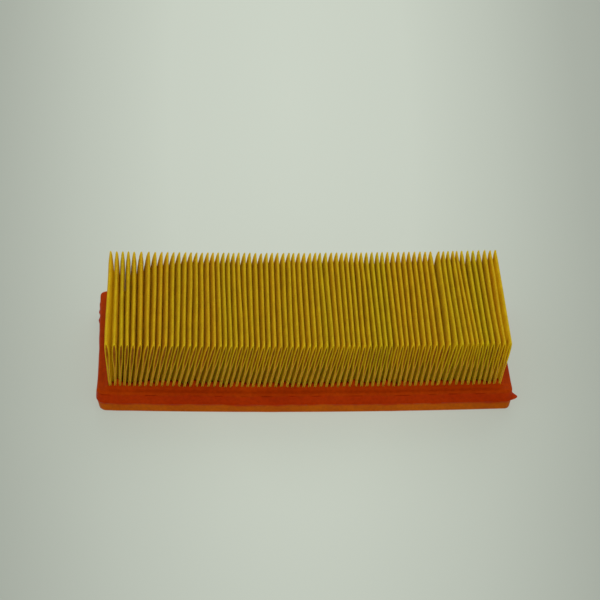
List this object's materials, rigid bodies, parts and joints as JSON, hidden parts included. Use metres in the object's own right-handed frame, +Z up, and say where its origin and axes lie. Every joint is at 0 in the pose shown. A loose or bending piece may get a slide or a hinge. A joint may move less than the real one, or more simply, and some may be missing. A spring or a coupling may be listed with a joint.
{
  "type": "panel air filter",
  "caption": "Rectangular panel air filter: a deep pleated paper pack with free folds, glued at its edges, in a low cast polyurethane sealing frame.",
  "frame": {"origin": "centre of the polyurethane frame's underside", "axes": "+X along the long side, +Y across the short side, +Z up from the clean-air face towards the free folds on the dirty-air side"},
  "size_m": [0.28, 0.101, 0.059],
  "materials": {
    "frame_polyurethane": "satin orange-red cast polyurethane",
    "filter_paper": "matte resin-treated yellow filter paper",
    "hot_melt_glue": "translucent cream hot-melt glue"
  },
  "bodies": {
    "root": {"frame": "frame_polyurethane", "pleated_media": "filter_paper", "edge_seal_front": "hot_melt_glue", "edge_seal_rear": "hot_melt_glue", "glue_thread_front": "hot_melt_glue", "glue_thread_middle": "hot_melt_glue", "glue_thread_rear": "hot_melt_glue"}
  },
  "joints": []
}
